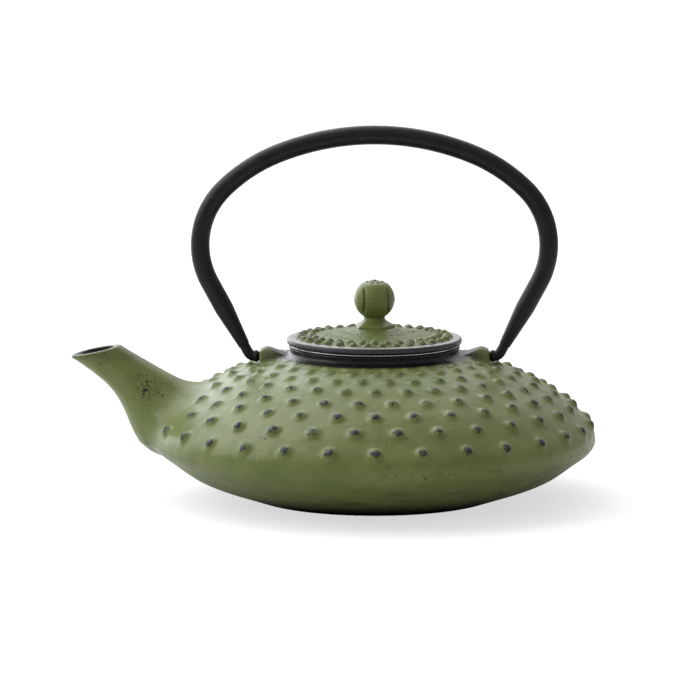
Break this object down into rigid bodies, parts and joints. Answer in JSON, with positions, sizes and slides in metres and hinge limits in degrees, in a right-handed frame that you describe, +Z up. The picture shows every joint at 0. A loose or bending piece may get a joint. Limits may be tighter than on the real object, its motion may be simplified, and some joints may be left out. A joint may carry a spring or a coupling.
{
  "type": "cast iron teapot",
  "caption": "Squat round iron teapot with a short spout, swinging bail handle, lift-off lid with a ball knob and a lift-out steel strainer.",
  "frame": {"origin": "centre of the flat foot, on the surface the pot stands on", "axes": "+Z up, -X towards the spout; the bail stands up in the XZ plane and swings about X"},
  "size_m": [0.2107, 0.1778, 0.1499],
  "materials": {
    "glazed_iron": "satin moss-green enamel, worn to dark iron on the raised tips",
    "black_bail": "black satin",
    "stainless": "polished stainless",
    "stainless_mesh": "woven stainless mesh",
    "plated_steel": "zinc plated"
  },
  "bodies": {
    "pot": {"pot_body": "glazed_iron"},
    "bail": {"bail_tube": "black_bail", "bail_hook_back_side": "black_bail", "bail_hook_spout_side": "black_bail"},
    "infuser": {"infuser_rim": "stainless", "infuser_wall": "stainless_mesh", "infuser_base": "stainless_mesh", "infuser_ring": "stainless"},
    "lid": {"lid": "glazed_iron", "knob": "glazed_iron", "knob_screw": "plated_steel", "knob_washer": "plated_steel"}
  },
  "joints": [
    {"name": "bail_swing", "type": "hinge", "parent": "pot", "child": "bail", "pos_m": [0, 0, 0.057], "axis": [1, 0, 0], "range_deg": [-94, 94]},
    {"name": "infuser_lift", "type": "slide", "parent": "pot", "child": "infuser", "axis": [0, 0, 1], "range_m": [0, 0.05]},
    {"name": "lid_lift", "type": "slide", "parent": "infuser", "child": "lid", "axis": [0, 0, 1], "range_m": [0, 0.05]}
  ]
}
